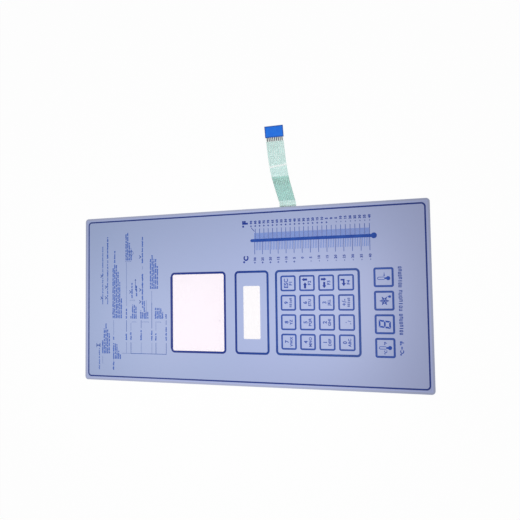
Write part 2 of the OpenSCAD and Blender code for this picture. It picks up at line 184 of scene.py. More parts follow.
floor_paper = Shader(bpy.data.materials.new("floor_paper"))
matt = floor_paper.node("BsdfDiffuse", {}, {"Color": FLOOR_WHITE})
bright = floor_paper.node("Emission", {}, {"Color": WHITE, "Strength": 1.0})
bright_share = seen_directly(floor_paper) * FLOOR_GLOW
paper = floor_paper.node("MixShader", {}, {0: bright_share, 1: matt, 2: bright})
floor_paper.node("OutputMaterial", {}, {"Surface": paper})

floor_mesh = bpy.data.meshes.new("floor")
half = FLOOR_SIDE / 2
floor_corners = [(u * half, v * half, -FLOOR_DROP) for u, v in ((-1, -1), (1, -1), (1, 1), (-1, 1))]
floor_mesh.from_pydata(floor_corners, [], [(0, 1, 2, 3)])
floor_mesh.materials.append(floor_paper.owner)
floor = bpy.data.objects.new("floor", floor_mesh)
bpy.context.scene.collection.objects.link(floor)

for place, watts in LAMPS:
    lamp = bpy.data.objects.new("soft_lamp", bpy.data.lights.new("soft_lamp", "AREA"))
    lamp.data.size = LAMP_SIDE
    lamp.data.energy = watts
    lamp.location = place
    lamp.visible_camera = False
    lamp.rotation_euler = Vector(place).to_track_quat("Z", "Y").to_euler()
    bpy.context.scene.collection.objects.link(lamp)
bpy.context.scene.view_settings.view_transform = "Standard"

# Release liner: silicone-coated paper on the back, which covers the adhesive until the
# panel is stuck on. It has faint fibres and a light sheen, and it lies flat on the floor.


def colour(code):
    """The linear colour of a web colour such as #a9b5d9."""
    parts = [int(code[i:i + 2], 16) / 255 for i in (1, 3, 5)]
    return [p / 12.92 if p <= 0.04045 else ((p + 0.055) / 1.055) ** 2.4 for p in parts] + [1.0]


def dress(material, *nodes):
    """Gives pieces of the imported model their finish."""
    for name in nodes:
        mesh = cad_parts[name].data
        mesh.materials.clear()
        mesh.materials.append(material)


FIBRE_LOW = 0.35
FIBRE_HIGH = 0.65
liner = Shader(bpy.data.materials.new("liner_paper"))
fibres = liner.noise(0.0016, detail=4.0, stretch=(1, 0.35, 1))
flecks = liner.ramp(fibres, FIBRE_LOW, FIBRE_HIGH)
liner.surface(
    Base_Color=liner.mix(flecks, colour("#e6dfc8"), colour("#f1ecdb")),
    Roughness=liner.over(fibres, 0.42, 0.62),
    Normal=liner.bump(fibres, depth=0.00002),
)
dress(liner.owner, "release_liner")

# Adhesives: a thick mounting sheet on the back and a thin one under the overlay. Both are
# pale, tacky layers with the fine ripple that a roller leaves in them.
for node, ripple in (("rear_adhesive", 0.0012), ("overlay_adhesive", 0.0007)):
    glue = Shader(bpy.data.materials.new(node))
    waves = glue.noise(ripple, stretch=(1, 0.5, 1))
    glue.surface(
        Base_Color=glue.mix(waves, colour("#d3d6d8"), colour("#e4e6e6")),
        Roughness=glue.over(waves, 0.25, 0.45),
        Normal=glue.bump(waves, depth=0.00001),
    )
    dress(glue.owner, node)

# Spacers: two milky polyester sheets with a hole at each key. They are punched, so their
# faces are plain, with a slight haze.
spacer = Shader(bpy.data.materials.new("spacer_film"))
haze = spacer.noise(0.004)
spacer.surface(
    Base_Color=spacer.mix(haze, colour("#dfe2e5"), colour("#eef0f1")),
    Roughness=spacer.over(haze, 0.3, 0.42),
)
dress(spacer.owner, "contact_spacer", "dome_spacer")

# Tactile domes: stamped spring-steel caps, one under each key, with the fine lines of the
# rolled strip across them.
steel = Shader(bpy.data.materials.new("dome_steel"))
rolled = steel.noise(0.0004, detail=3.0, stretch=(1, 0.04, 1))
steel.surface(
    Base_Color=steel.mix(rolled, colour("#b9bcc1"), colour("#d6d8dc")),
    Metallic=1.0,
    Roughness=steel.over(rolled, 0.2, 0.34),
    Normal=steel.bump(rolled, depth=0.000002),
)
domes = [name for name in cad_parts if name.startswith("dome_") and name != "dome_spacer"]
dress(steel.owner, *domes)

# Circuit films: clear polyester. The upper one runs on as the tail, where it shows a pale
# green tint and one crease across it where it was once folded, with a painted highlight along it.
CREASE_X = 0.1765
CREASE_SLOPE = 0.09
CREASE_HALF = 0.0005
CREASE_SOFT = 0.0010
# Alpha of the tail's film, and of the film in the fold, where the painted highlight whitens it
FILM_COVER = 0.12
FOLD_HIGHLIGHT_COVER = 0.3
tail_middle = sum(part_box("tail_stiffener"), Vector()).y / 2


def crease(shader):
    """1 along the fold across the tail, where the highlight is painted, fading to 0 beside it."""
    across = shader.axis("X") + (shader.axis("Y") - tail_middle) * CREASE_SLOPE - CREASE_X
    return shader.ramp(abs(across), CREASE_HALF, CREASE_HALF + CREASE_SOFT, 1.0, 0.0)


lower_film = Shader(bpy.data.materials.new("circuit_film"))
lower_film.surface(
    Base_Color=lower_film.mix(lower_film.noise(0.01), colour("#d3e3df"), colour("#e2eeea")),
    Roughness=0.16,
    Alpha=0.6,
)
dress(lower_film.owner, "lower_circuit_film")

tail_film = Shader(bpy.data.materials.new("tail_film"))
cloud = tail_film.noise(0.006)
tinted_film = tail_film.mix(tail_film.over(cloud), colour("#dcf3ef"), colour("#ebf9f6"))
tail_film.surface(
    # Painted highlight along the fold: the film turns near-white and less clear there.
    Base_Color=tail_film.mix(crease(tail_film), tinted_film, colour("#f2fffb")),
    Roughness=tail_film.over(cloud, 0.12, 0.2),
    Alpha=tail_film.ramp(crease(tail_film), 0, 1, FILM_COVER, FOLD_HIGHLIGHT_COVER),
)
dress(tail_film.owner, "upper_circuit_film")

# Silver print: the conductors on both circuit films and the dots of adhesive between them,
# in silk-screened flake ink, pale and grainy. The second coat tints it green, in the fold it is
# made nearly clear for the painted highlight there, and at the end of the tail it is black with
# the carbon of the contacts.
# Alpha of the silver in the fold, made low for the painted highlight
SILVER_UNDER_HIGHLIGHT = 0.2
CARBON_SOFT = 0.0004
BAND_SOFT = 0.0001
carbon_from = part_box("tail_contacts")[0].x
band_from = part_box("tail_coating_band")[0].x
band_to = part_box("tail_coating_band")[1].x


def second_coat(shader):
    """1 where the second, darker coat lies on the tail."""
    begun = shader.ramp(shader.axis("X"), band_from - BAND_SOFT, band_from)
    return begun * shader.ramp(shader.axis("X"), band_to, band_to + BAND_SOFT, 1.0, 0.0)


silver = Shader(bpy.data.materials.new("silver_print"))
flakes = silver.noise(0.00025, detail=3.0)
bare = silver.mix(flakes, colour("#effcf8"), colour("#f8fffd"))
green = silver.mix(flakes, colour("#c0f4e8"), colour("#ccfbf0"))
blackened = silver.ramp(silver.axis("X"), carbon_from, carbon_from + CARBON_SOFT)
silver.surface(
    Base_Color=silver.mix(blackened, silver.mix(second_coat(silver), bare, green), colour("#242428")),
    Metallic=0.05,
    # Nearly clear in the fold, as part of the painted highlight there.
    Alpha=silver.ramp(crease(silver), 0, 1, 1.0, SILVER_UNDER_HIGHLIGHT),
    Roughness=silver.over(flakes, 0.4, 0.6),
    Normal=silver.bump(flakes, depth=0.000005),
)
dress(silver.owner, "row_conductors", "column_conductors", "link_dots")

# Coats on the underside of the tail: pale green insulating lacquer over the silver, and a
# second, darker coat near the panel, where the first is thin. Each edge is a little darker,
# in the fold the coats are made nearly clear for the painted highlight there, and painted
# shade darkens the tail's root where the panel shades it.
EDGE_LINE = 0.0007
# Alpha of a coat in the fold, made low for the painted highlight
COAT_UNDER_HIGHLIGHT = 0.05
ROOT_START = 0.0008
ROOT_SHADE = 0.0016
ROOT_DEPTH = 0.7
root_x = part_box("overlay_film")[1].x + ROOT_START


def lacquer(node, pale, deep, edge, cover, cover_in_band):
    """The finish of one coat. The covers are its alpha beside the second coat and where that lies."""
    coat = Shader(bpy.data.materials.new(node))
    low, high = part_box(node)
    from_middle = abs(coat.axis("Y") - (low.y + high.y) / 2)
    half_width = (high.y - low.y) / 2
    brush = coat.over(coat.noise(0.0025, detail=3.0, stretch=(0.3, 1, 1)))
    edge_line = coat.ramp(from_middle, half_width - EDGE_LINE, half_width - EDGE_LINE / 2)
    shade = coat.ramp(coat.axis("X"), root_x, root_x + ROOT_SHADE, 1.0, 0.0)
    own_cover = coat.ramp(second_coat(coat), 0, 1, cover, cover_in_band)
    # In the fold the coat is made nearly clear, for the painted highlight.
    whole = coat.ramp(crease(coat), 0, 1, own_cover, COAT_UNDER_HIGHLIGHT)
    plain = coat.mix(edge_line, coat.mix(brush, colour(deep), colour(pale)), colour(edge))
    coat.surface(
        # Painted shade at the tail's root, where it runs out from under the panel.
        Base_Color=coat.mix(shade, plain, colour("#2f7f78")),
        Roughness=coat.ramp(brush, 0, 1, 0.34, 0.46),
        Alpha=whole.either(shade * ROOT_DEPTH),
    )
    dress(coat.owner, node)


lacquer("tail_coating", "#d8fffb", "#d4fff8", "#c6f0ea", cover=0.62, cover_in_band=0.12)
lacquer("tail_coating_band", "#b2f5e4", "#abf2df", "#94d4c2", cover=0.9, cover_in_band=0.9)

# Carbon contacts: matt black fingers of carbon ink, screened over the silver at the end of
# the tail, where the springs of a socket rub on them.
carbon = Shader(bpy.data.materials.new("carbon_print"))
soot = carbon.noise(0.0003, detail=3.0)
carbon.surface(
    Base_Color=carbon.mix(soot, colour("#1b1b1e"), colour("#35363a")),
    Roughness=carbon.over(soot, 0.55, 0.75),
    Normal=carbon.bump(soot, depth=0.000006),
)
dress(carbon.owner, "tail_contacts")

# Stiffener: a strip of bright blue polyester glued on the end of the tail so that it can be
# pushed into its socket. Towards its cut edges it looks darker.
CUT_EDGE = 0.0020
CUT_DEPTH = 0.8
stiffener = Shader(bpy.data.materials.new("stiffener_blue"))
strip_low, strip_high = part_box("tail_stiffener")
strip_middle = (strip_low + strip_high) / 2
strip_half = (strip_high - strip_low) / 2
near_side = stiffener.ramp(
    abs(stiffener.axis("Y") - strip_middle.y), strip_half.y - CUT_EDGE, strip_half.y)
near_end = stiffener.ramp(
    abs(stiffener.axis("X") - strip_middle.x), strip_half.x - CUT_EDGE, strip_half.x)
plain_blue = stiffener.mix(stiffener.noise(0.005), colour("#1a72f4"), colour("#2488ff"))
stiffener.surface(
    Base_Color=stiffener.mix(near_side.either(near_end) * CUT_DEPTH, plain_blue, colour("#0a3078")),
    Roughness=stiffener.over(stiffener.noise(0.0015), 0.3, 0.4),
    Specular_IOR_Level=0.3,
)
dress(stiffener.owner, "tail_stiffener")

# Overlay: clear polyester over the whole face, which closes both windows. It is nearly
# white there, with a breath of pink in the large one, where a single speck of dust sits.
PINK_FROM = 0.0
PINK_FULL = 0.02
FILM_VEIL = 0.25
DUST = Vector((-0.0340, 0.0333, 0))
DUST_R = 0.0006
DUST_SOFT = 0.0003

overlay = Shader(bpy.data.materials.new("overlay_clear"))
flat_spot = overlay.node("VectorMath", {"operation": "MULTIPLY"}, {0: overlay.spot(), 1: (1, 1, 0)})
from_dust = overlay.node("VectorMath", {"operation": "DISTANCE"}, {0: flat_spot, 1: DUST}, output="Value")
dust = overlay.ramp(from_dust, DUST_R, DUST_R + DUST_SOFT, 1.0, 0.0)
pink = overlay.mix(overlay.noise(0.05), colour("#ffe9fa"), colour("#fdebff"))
in_large_window = overlay.ramp(overlay.axis("Y"), PINK_FROM, PINK_FULL)
tinted = overlay.mix(in_large_window, colour("#fff8fd"), pink)
overlay.surface(
    Base_Color=overlay.mix(dust, tinted, colour("#b7adc0")),
    Roughness=overlay.over(overlay.noise(0.0008), 0.2, 0.26),
    Alpha=overlay.ramp(dust, 0, 1, FILM_VEIL, 1.0),
)
dress(overlay.owner, "overlay_film")

# Pale ink: the lavender-blue ground of the face, screened over all but the windows. It is
# satin, with a fine tooth and the faint clouds of a wide flat print, and a painted tint of the
# light makes it a little more cyan towards the windows' end. Outside the border line
# it is a little paler and bluer, and at the very edge the trimmed rim is greyer.
CLOUD_REACH = 0.25
FOOT_TONE = -0.15
HEAD_TONE = 0.4
RIM = 0.0040
TRIM = 0.0024
RIM_SOFT = 0.0008
ground = Shader(bpy.data.materials.new("pale_ink"))
# Painted light: a faint tint of the studio light along the panel, mixed with the print's clouds.
print_clouds_and_light_tint = ground.axis("Y") + ground.noise(0.07) * CLOUD_REACH
tooth = ground.noise(0.0004)
ground_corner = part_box("base_ink")[1]


def along_edge(width):
    """1 within about that width of the panel's edge."""
    x, y = ground_corner.x - width, ground_corner.y - width
    beside = ground.ramp(abs(ground.axis("X")), x - RIM_SOFT, x)
    return beside.either(ground.ramp(abs(ground.axis("Y")), y - RIM_SOFT, y))


field = ground.mix(ground.ramp(print_clouds_and_light_tint, FOOT_TONE, HEAD_TONE), colour("#a8b1d9"), colour("#a3b2d9"))
rimmed = ground.mix(along_edge(RIM), field, colour("#afb8e4"))
ground.surface(
    Base_Color=ground.mix(along_edge(TRIM), rimmed, colour("#aab1cf")),
    Roughness=ground.over(tooth, 0.4, 0.5),
    Normal=ground.bump(tooth, depth=0.000006),
)
dress(ground.owner, "base_ink")

# Dark print: border, frames, key outlines and the thermometer's bar, screened in one dark
# blue. The ink lies a little thicker in places, so its blue varies slightly, and the frame
# round the large window is darker than the one round the keys.
KEYPAD_TOP = -0.06
WINDOW_FOOT = 0.03


def ink(name, deep, pale, patch=0.012, upper=None):
    """The dark print's finish between two of its blues, in patches of that size.

    With upper, another blue, it deepens to that one towards the top of the panel.
    """
    made = Shader(bpy.data.materials.new(name))
    body = made.over(made.noise(patch, detail=3.0))
    blue = made.mix(body, colour(deep), colour(pale))
    if upper:
        blue = made.mix(made.ramp(made.axis("Y"), KEYPAD_TOP, WINDOW_FOOT), blue, colour(upper))
    made.surface(
        Base_Color=blue,
        Roughness=made.ramp(body, 0, 1, 0.32, 0.42),
        Normal=made.bump(made.noise(0.0004), depth=0.000004),
        Specular_IOR_Level=0.2,
    )
    return made.owner


dark_ink = ink("dark_ink", "#0a2c88", "#12389a")
dress(ink("border_ink", "#1e327e", "#2a408c"), "border_print")
frame_ink = ink("frame_ink", "#22428e", "#2e509c", upper="#0a2a80")
dress(frame_ink, "frames_print")
dress(ink("key_ink", "#284898", "#3454a8"), "key_outlines_print")
dress(ink("thermometer_ink", "#1c449e", "#2852aa"), "thermometer_print")

# Fine marks of the thermometer scale: one thin line for each degree, Fahrenheit towards
# the tail and Celsius towards the keys. Every fifth line is part of the thermometer print.
MM = 0.001
CELSIUS_REACH = 20 * MM
BULB_DROP = 5.6 * MM
BULB_R = 4 * MM
BAR_HALF = 2.2 * MM
DEGREE_C = 2.343 * MM
DEGREE_F = DEGREE_C / 1.8
COLDEST = -40
NUMBER_STEP = 5
MARK_LINE = 0.58 * MM
# Each scale's degree, warmest fine mark, way from the bar and reach from the bar's middle
MARKS = {
    "fahrenheit_marks": (DEGREE_F, 86, 1, 10.9 * MM),
    "celsius_marks": (DEGREE_C, 30, -1, 14.1 * MM),
}
scale_low, scale_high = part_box("thermometer_print")
scale_x = scale_low.x + CELSIUS_REACH
coldest_y = scale_low.y + BULB_R + BULB_DROP
ink_depth = scale_high.z - scale_low.z
ink_middle = (scale_low.z + scale_high.z) / 2


class Pattern:
    """A tree of geometry nodes for a print that repeats, with named inputs for its sizes."""

    def __init__(self, name, **inputs):
        self.tree = bpy.data.node_groups.new(name, "GeometryNodeTree")
        sockets = self.tree.interface
        sockets.new_socket("Geometry", in_out="OUTPUT", socket_type="NodeSocketGeometry")
        self.inputs = {}
        for label, kind in inputs.items():
            socket = sockets.new_socket(label, in_out="INPUT", socket_type="NodeSocket" + kind)
            self.inputs[label] = socket.identifier
        self.given = self.tree.nodes.new("NodeGroupInput").outputs

    def node(self, kind, inputs, output=0, **settings):
        """Adds a node, sets or links its inputs, and returns one of its outputs."""
        made = self.tree.nodes.new(kind)
        for name, value in settings.items():
            setattr(made, name, value)
        for place, value in inputs.items():
            if isinstance(value, bpy.types.NodeSocket):
                self.tree.links.new(value, made.inputs[place])
            else:
                made.inputs[place].default_value = value
        return made.outputs[output] if made.outputs else None

    def end(self, instances):
        """Makes the instances real and gives them the tree's ink."""
        real = self.node("GeometryNodeRealizeInstances", {"Geometry": instances})
        inked = self.node("GeometryNodeSetMaterial", {"Geometry": real, "Material": self.given["Ink"]})
        self.node("NodeGroupOutput", {"Geometry": inked})

    def grow(self, name, mesh=None, **values):
        """Runs the tree once and returns an object with the plain mesh that it makes."""
        carrier = bpy.data.objects.new(name, mesh or bpy.data.meshes.new(name))
        bpy.context.scene.collection.objects.link(carrier)
        modifier = carrier.modifiers.new("grow", "NODES")
        modifier.node_group = self.tree
        for label, value in values.items():
            modifier[self.inputs[label]] = value
        evaluated = carrier.evaluated_get(bpy.context.evaluated_depsgraph_get())
        made = bpy.data.meshes.new_from_object(evaluated)
        carrier.modifiers.clear()
        carrier.data = made
        return carrier


marks = Pattern(
    "degree_marks",
    Count="Int", Pitch="Float", First="Vector", Size="Vector", Skipped="Int", Ink="Material")
given = marks.given
offset = marks.node("ShaderNodeCombineXYZ", {"Y": given["Pitch"]})
row = marks.node("GeometryNodeMeshLine", {
    "Count": given["Count"], "Start Location": given["First"], "Offset": offset})
mark = marks.node("GeometryNodeMeshCube", {"Size": given["Size"]})
# A line whose number is a multiple of five leaves no remainder, and is left out
index = marks.node("GeometryNodeInputIndex", {})
phase = marks.node("ShaderNodeMath", {0: index, 1: given["Skipped"]}, operation="MODULO")
fine = marks.node("ShaderNodeMath", {0: phase, 1: 0.5}, operation="GREATER_THAN")
marks.end(marks.node("GeometryNodeInstanceOnPoints", {
    "Points": row, "Selection": fine, "Instance": mark}))

mark_ink = ink("mark_ink", "#0c58c2", "#1c6cd2")
for name, (degree, warmest, way, reach) in MARKS.items():
    fine_marks = marks.grow(
        name,
        Count=warmest - COLDEST + 1,
        Pitch=degree,
        First=(scale_x + way * (BAR_HALF + reach) / 2, coldest_y, ink_middle),
        Size=(reach - BAR_HALF, MARK_LINE, ink_depth),
        Skipped=NUMBER_STEP,
        Ink=mark_ink,
    )
    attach(fine_marks, "root")

# Numbers of the scale: plain figures beside every fifth degree, with their signs in a
# column of their own, and the two units as bold headings.
# Height of a capital, as a share of the size of the built-in letters
CAP_SHARE = 0.729
CURVE_STEPS = 3
MITRE_LIMIT = 0.3
MERGE_WITHIN = 0.001


class Stencil:
    """Flat shapes of one print, in millimetres on the face, pulled up to the ink's thickness."""

    def __init__(self):
        self.mesh = bmesh.new()
        self.low = scale_low.z / MM
        self.high = scale_high.z / MM

    def shape(self, points, holes=()):
        """A closed outline with its holes, each a list of points."""
        loops = []
        for outline in (points, *holes):
            ring = [self.mesh.verts.new((x, y, self.low)) for x, y in outline]
            loops += [self.mesh.edges.new(pair) for pair in zip(ring, ring[1:] + ring[:1])]
        filled = bmesh.ops.triangle_fill(self.mesh, edges=loops, use_beauty=True)["geom"]
        under = [part for part in filled if isinstance(part, bmesh.types.BMFace)]
        for face in under:
            if face.normal.z > 0:
                face.normal_flip()
        raised = bmesh.ops.extrude_face_region(self.mesh, geom=under, use_keep_orig=True)["geom"]
        corners = [part for part in raised if isinstance(part, bmesh.types.BMVert)]
        bmesh.ops.translate(self.mesh, verts=corners, vec=Vector((0, 0, self.high - self.low)))

    def bar(self, x, y, w, h):
        """A plain bar, centred on x and y."""
        self.shape([(x + u * w / 2, y + v * h / 2) for u, v in ((-1, -1), (1, -1), (1, 1), (-1, 1))])

    def stroke(self, points, width):
        """A line of that width through the points, with mitred corners and square ends."""
        path = [Vector(p) for p in points]
        sides = []
        for i, corner in enumerate(path):
            before = (corner - path[i - 1]).normalized() if i else None
            after = (path[i + 1] - corner).normalized() if i + 1 < len(path) else None
            before, after = before or after, after or before
            across = Vector((-before.y - after.y, before.x + after.x)).normalized()
            mitre = max(across.dot(Vector((-before.y, before.x))), MITRE_LIMIT)
            sides.append(across * (width / 2 / mitre))
        one_side = [tuple(p + s) for p, s in zip(path, sides)]
        other_side = [tuple(p - s) for p, s in zip(path, sides)]
        self.shape(one_side + other_side[::-1])

    def words(self, text, x, y, cap, weight=0.0, spacing=1.0):
        """Plain letters or figures, centred on x and y, with that cap height."""
        curve = bpy.data.curves.new("letters", "FONT")
        curve.body = text
        curve.size = cap / CAP_SHARE
        curve.align_x = "CENTER"
        curve.space_character = spacing
        curve.offset = weight
        curve.resolution_u = CURVE_STEPS
        curve.extrude = (self.high - self.low) / 2
        holder = bpy.data.objects.new("letters", curve)
        mesh = bpy.data.meshes.new_from_object(holder)
        mesh.transform(Matrix.Translation((x, y - cap / 2, (self.low + self.high) / 2)))
        self.mesh.from_mesh(mesh)
        bpy.data.meshes.remove(mesh)
        bpy.data.objects.remove(holder)
        bpy.data.curves.remove(curve)

    def piece(self, name, material):
        """The finished print as a piece that lies on the face."""
        bmesh.ops.remove_doubles(self.mesh, verts=self.mesh.verts, dist=MERGE_WITHIN)
        bmesh.ops.recalc_face_normals(self.mesh, faces=self.mesh.faces)
        mesh = bpy.data.meshes.new(name)
        self.mesh.to_mesh(mesh)
        self.mesh.free()
        mesh.transform(Matrix.Scale(MM, 4))
        mesh.materials.append(material)
        made = bpy.data.objects.new(name, mesh)
        bpy.context.scene.collection.objects.link(made)
        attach(made, "root")
        return made


# Columns of signs and of numbers, in millimetres from the bar's middle
FAHRENHEIT = {
    "degree": DEGREE_F, "warmest": 90,
    "signs": 21.0, "numbers": 26.4, "cap": 3.3, "weight": 0.26,
}
CELSIUS = {
    "degree": DEGREE_C, "warmest": 30,
    "signs": -32.0, "numbers": -26.9, "cap": 3.5, "weight": 0.22,
}
NUMBER_SPACING = 1.1
middle_x = scale_x / MM


def height_on_scale(value, degree):
    return (coldest_y + (value - COLDEST) * degree) / MM


numbers = Stencil()
for unit in (FAHRENHEIT, CELSIUS):
    for value in range(COLDEST, unit["warmest"] + 1, NUMBER_STEP):
        look = (height_on_scale(value, unit["degree"]), unit["cap"], unit["weight"])
        numbers.words(str(abs(value)), middle_x + unit["numbers"], *look, spacing=NUMBER_SPACING)
        if value:
            numbers.words("+" if value > 0 else "-", middle_x + unit["signs"], *look)
numbers.piece("scale_numbers", ink("number_ink", "#12328e", "#1c409e"))

# Each unit's letter, its place, cap height and weight
UNITS = [("F", 26.2, -7.8, 7.6, 0.8), ("C", -25.6, -8.7, 7.0, 0.55)]
SIGN_BEFORE = 5.2
SIGN_UP = 0.7
SIGN_CAP = 6.4
SIGN_WEIGHT = 0.4
# The slanting line from the last fine mark to the last number
LEADER = [(19.0, 90), (13.2, 86)]
LEADER_LINE = 0.8

headings = Stencil()
for letter, u, y, cap, weight in UNITS:
    headings.words(letter, middle_x + u, y, cap, weight)
    headings.words("°", middle_x + u - SIGN_BEFORE, y + SIGN_UP, SIGN_CAP, SIGN_WEIGHT)
headings.stroke([(middle_x + u, height_on_scale(value, DEGREE_F)) for u, value in LEADER], LEADER_LINE)
headings.piece("scale_headings", dark_ink)

# Upper edge of the large frame: a second pass of the same ink along it, so that it is
# heavier than the other sides of the frames.
HEAVY_EDGE = 0.8
FRAME_CORNER = 6.0
frames_low, frames_high = [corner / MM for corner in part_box("frames_print")]
heavy_edge = Stencil()
heavy_edge.bar(
    (frames_low.x + frames_high.x) / 2,
    frames_high.y + HEAVY_EDGE / 2,
    frames_high.x - frames_low.x - 2 * FRAME_CORNER,
    HEAVY_EDGE)
heavy_edge.piece("frame_heavy_edge", frame_ink)

# Legends of the keys: a figure over a group of letters on each key, and the names of the
# four keys on the right. They are thin plain capitals, a deeper blue than the outlines.
LEGENDS = [
    [("7", "VWX"), ("8", "YZ"), ("9", ""), ("ESC", "F1")],
    [("4", "MNO"), ("5", "PQR"), ("6", "STU"), ("", "F2")],
    [("1", "DEF"), ("2", "GHI"), ("3", "JKL"), ("", "F3")],
    [("0", "ABC"), (".", ", /"), ("+/-", ""), ("", "F4")],
]
FIGURE_UP = 3.2
FIGURE_CAP = 5.4
LONG_FIGURE_CAP = 6.0
LETTERS_DOWN = 3.4
LETTERS_CAP = 3.9
NAME_CAP = 4.4
LEGEND_WEIGHT = 0.2
LEGEND_SPACING = 1.1


def key_centre(node):
    low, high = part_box(node)
    return (low.x + high.x) / 2 / MM, (low.y + high.y) / 2 / MM


legend_ink = ink("legend_ink", "#1c409c", "#2a50ae", patch=0.003)
legends = Stencil()
for r, key_row in enumerate(LEGENDS):
    for c, (figure, group) in enumerate(key_row):
        x, y = key_centre(f"dome_row{r + 1}_col{c + 1}")
        if figure:
            cap = LONG_FIGURE_CAP if len(figure) > 1 else FIGURE_CAP
            legends.words(figure, x, y + FIGURE_UP, cap, LEGEND_WEIGHT)
        if group:
            cap = NAME_CAP if group[0] == "F" else LETTERS_CAP
            legends.words(group, x, y - LETTERS_DOWN, cap, LEGEND_WEIGHT, spacing=LEGEND_SPACING)
legends.piece("key_legends", legend_ink)

# Small words: under the 9, under the sign key and below the large keys the panel has short
# functional words. Plain blocks, arches, cups and posts of their size stand for the letters,
# so nothing can be read.
WORD_DROP = 21.3
# Key, drop below its centre, number of forms, and the width, height and line of the word
SMALL_WORDS = [
    ("dome_row1_col3", LETTERS_DOWN, 5, 13.5, 3.5, 0.8),
    ("dome_row4_col3", LETTERS_DOWN, 5, 13.0, 3.5, 0.75),
    ("dome_special_2", WORD_DROP, 8, 28.4, 4.9, 1.0),
    ("dome_special_3", WORD_DROP, 7, 28.4, 4.9, 1.0),
    ("dome_special_4", WORD_DROP, 8, 28.4, 4.9, 1.0),
]
FORMS = "arch", "block", "post", "cup", "block", "arch", "cup", "block"
# Share of the pitch that a form fills, and width of a post in lines
FORM_SHARE = 0.74
POST_LINES = 1.3


def greeked(stencil, x, y, count, pitch, height, line):
    """A row of plain forms, one for each letter, centred on x and y."""
    for k in range(count):
        middle = x + (k - (count - 1) / 2) * pitch
        w, h = (pitch * FORM_SHARE - line) / 2, (height - line) / 2
        form = FORMS[k % len(FORMS)]
        if form == "post":
            stencil.bar(middle, y, line * POST_LINES, height)
            continue
        up = -1 if form == "cup" else 1
        corners = ((-w, -h), (-w, h), (w, h), (w, -h))
        stencil.stroke([(middle + u, y + v * up) for u, v in corners], line)
        if form == "block":
            stencil.bar(middle, y - h, 2 * w - line, line)


block_letters = Stencil()
for node, drop, count, width, height, line in SMALL_WORDS:
    x, y = key_centre(node)
    greeked(block_letters, x, y - drop, count, width / count, height, line)
block_letters.piece("block_letters", ink("word_ink", "#204094", "#2e4ea4"))

# Bold symbols of the lower three right-hand keys: arrows right and up, arrows left and down,
# and the bent arrow of the enter key, all solid and darker than the legends.


def arrow(length, shaft, head, head_length):
    """A solid arrow that points along X, centred on its own middle."""
    tip, neck = length / 2, length / 2 - head_length
    lower = [(-tip, -shaft / 2), (neck, -shaft / 2), (neck, -head / 2)]
    return lower + [(tip, 0)] + [(u, -v) for u, v in lower[::-1]]


def turned(points, quarter_turns):
    for _ in range(quarter_turns):
        points = [(-v, u) for u, v in points]
    return points


def shifted(points, x, y):
    return [(x + u, y + v) for u, v in points]


LEVEL_ARROW = arrow(length=8.6, shaft=2.9, head=5.6, head_length=3.9)
LEVEL_LEFT = 3.2
LEVEL_UP = 2.7
UPRIGHT_ARROW = arrow(length=7.8, shaft=2.9, head=5.0, head_length=3.6)
UPRIGHT_RIGHT = 4.9
UPRIGHT_UP = 3.5
BENT_ARROW = [
    (4.9, 1.7), (-1.0, 1.7), (-1.0, -0.1), (-5.2, 2.9), (-1.0, 5.9),
    (-1.0, 4.1), (2.5, 4.1), (2.5, 7.2), (4.9, 7.2),
]

symbols = Stencil()
for node, level_turns, upright_turns in (("dome_row2_col4", 0, 1), ("dome_row3_col4", 2, 3)):
    x, y = key_centre(node)
    symbols.shape(shifted(turned(LEVEL_ARROW, level_turns), x - LEVEL_LEFT, y + LEVEL_UP))
    symbols.shape(shifted(turned(UPRIGHT_ARROW, upright_turns), x + UPRIGHT_RIGHT, y + UPRIGHT_UP))
symbols.shape(shifted(BENT_ARROW, *key_centre("dome_row4_col4")))
symbols.piece("arrow_symbols", dark_ink)

# Pictures on the large keys: a thermometer between the two units, a seven-segment figure,
# a drop below the snow star, and a thermometer with a pointer, all in one bright dark blue.
BULB = 2.7
BULB_DOWN = 6.0
BULB_STEPS = 28
NECK = 2.4
FILLED_TO = -1.0
TUBE = 4.0
TUBE_TOP = 8.3
TUBE_LINE = 0.8
TUBE_STEPS = 12


def arc(x, y, r, start, stop, steps):
    """Points round x and y from one angle to another, in degrees."""
    angles = [math.radians(start + (stop - start) * i / steps) for i in range(steps + 1)]
    return [(x + r * math.cos(angle), y + r * math.sin(angle)) for angle in angles]


def thermometer(stencil, x, y):
    """A filled bulb and neck, and an open tube over them."""
    lean = math.degrees(math.asin(NECK / 2 / BULB))
    bulb = arc(x, y - BULB_DOWN, BULB, 90 + lean, 450 - lean, BULB_STEPS)
    stencil.shape(bulb + [(x + NECK / 2, y + FILLED_TO), (x - NECK / 2, y + FILLED_TO)])
    r = (TUBE - TUBE_LINE) / 2
    round_top = arc(x, y + TUBE_TOP - TUBE / 2, r, 0, 180, TUBE_STEPS)
    stencil.stroke([(x + r, y + FILLED_TO)] + round_top + [(x - r, y + FILLED_TO)], TUBE_LINE)


# Each unit's sign, its place, cap height and weight: two on the first large key, two below it
UNIT_SIGNS = [
    ("°C", -6.0, -0.3, 3.6, 0.2),
    ("°F", 5.8, -0.3, 3.6, 0.2),
    ("°C", -6.2, -WORD_DROP, 4.7, 0.26),
    ("°F", 6.4, -WORD_DROP, 4.7, 0.26),
]
DASH_RIGHT = 0.2
DASH_W = 3.8
DASH_H = 1.4

pictures = Stencil()
x, y = key_centre("dome_special_1")
thermometer(pictures, x, y)
for text, u, v, cap, weight in UNIT_SIGNS:
    pictures.words(text, x + u, y + v, cap, weight)
pictures.bar(x + DASH_RIGHT, y - WORD_DROP, DASH_W, DASH_H)

